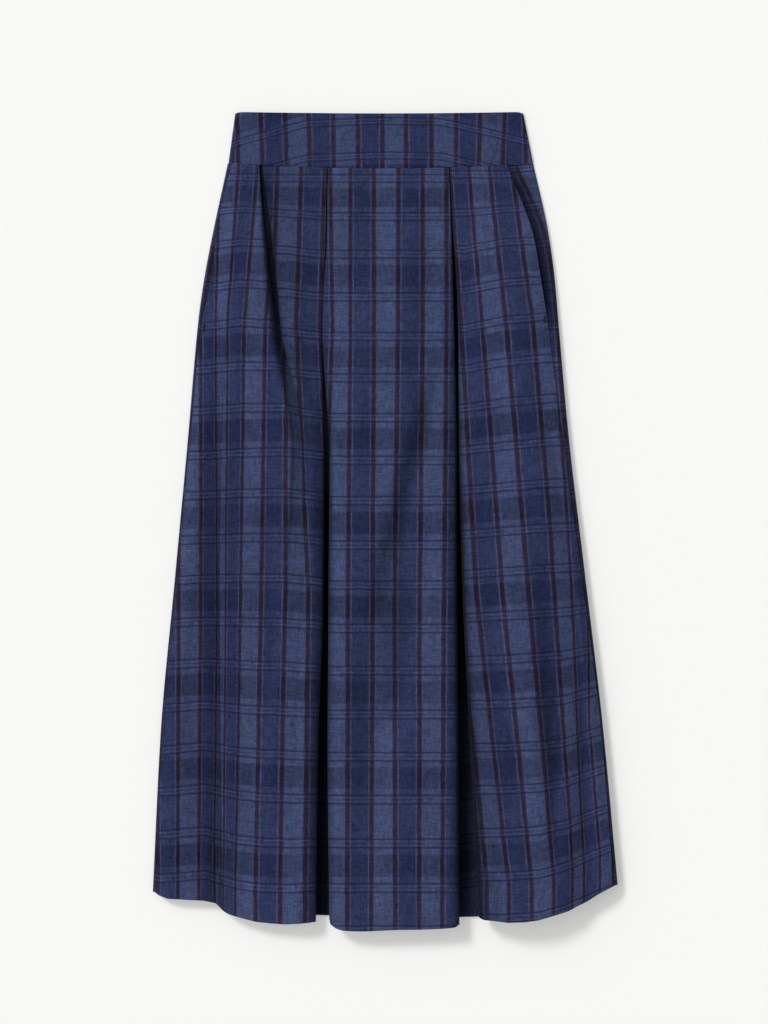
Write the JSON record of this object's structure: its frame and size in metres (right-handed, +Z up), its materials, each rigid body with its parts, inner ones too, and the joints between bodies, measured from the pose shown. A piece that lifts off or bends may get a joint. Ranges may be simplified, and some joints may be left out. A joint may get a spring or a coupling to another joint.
{
  "type": "maxi skirt",
  "caption": "Full-length pleated A-line skirt in checked linen with a contour waistband and in-seam side pockets, lying flat on its back.",
  "frame": {"origin": "middle of the bounding box's underside, on the surface that the skirt lies on", "axes": "+X to the picture's right, +Y from the hem to the waistband, +Z up from the surface, out of the front"},
  "size_m": [0.5664, 0.9979, 0.0407],
  "materials": {
    "plaid_linen": "matt yarn-dyed linen, navy and slate-blue checks with thin maroon and pale lines",
    "band_linen": "the same matt linen, doubled and interfaced",
    "pocket_cloth": "plain matt navy cotton",
    "zip_metal": "navy enamel, semi-gloss"
  },
  "bodies": {
    "skirt": {"front_panel": "plaid_linen", "back_panel_left": "plaid_linen", "back_panel_right": "plaid_linen", "waistband_front": "band_linen", "waistband_back_left": "band_linen", "waistband_back_right": "band_linen", "pocket_left": "pocket_cloth", "pocket_right": "pocket_cloth", "zip_slider": "zip_metal"},
    "pull_tab": {"zip_pull_tab": "zip_metal"}
  },
  "joints": [
    {"name": "tab_hinge", "type": "hinge", "parent": "skirt", "child": "pull_tab", "pos_m": [0, 0.493, 0.0015], "axis": [1, 0, 0], "range_deg": [0, 165]}
  ]
}
